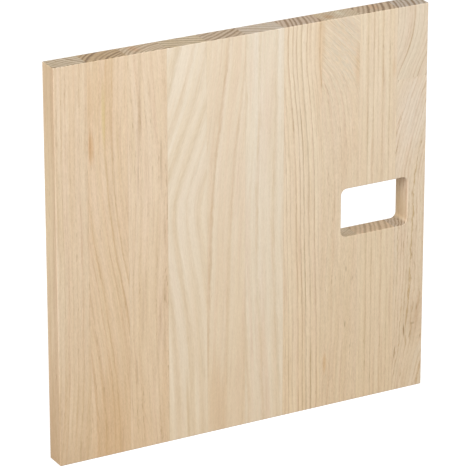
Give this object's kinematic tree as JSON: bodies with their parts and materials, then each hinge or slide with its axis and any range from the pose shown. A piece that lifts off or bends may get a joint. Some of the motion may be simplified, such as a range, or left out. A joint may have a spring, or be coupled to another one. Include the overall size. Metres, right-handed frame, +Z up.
{
  "type": "shelf cube door",
  "caption": "Square door panel for a shelf cube, glued up from pine staves, with eased edges and a rounded rectangular finger pull cut through near one side.",
  "frame": {"origin": "middle of the underside, halfway through the thickness", "axes": "+X to the right seen from the front, +Y towards the back, +Z up along the grain; the front faces -Y and the finger pull is on the +X side"},
  "size_m": [0.322, 0.018, 0.322],
  "materials": {
    "pine_heartwood": "sanded smooth, matt, pinkish tan",
    "pine_sapwood": "sanded smooth, matt, pale cream"
  },
  "bodies": {
    "root": {"stave_1": "pine_heartwood", "stave_2": "pine_heartwood", "stave_3": "pine_heartwood", "stave_4": "pine_sapwood", "stave_5": "pine_sapwood", "stave_6": "pine_sapwood", "stave_7": "pine_sapwood", "stave_8": "pine_sapwood", "stave_9_above_pull": "pine_sapwood", "stave_9_below_pull": "pine_sapwood", "stave_10_short_length": "pine_sapwood", "stave_10_long_length": "pine_sapwood"}
  },
  "joints": []
}
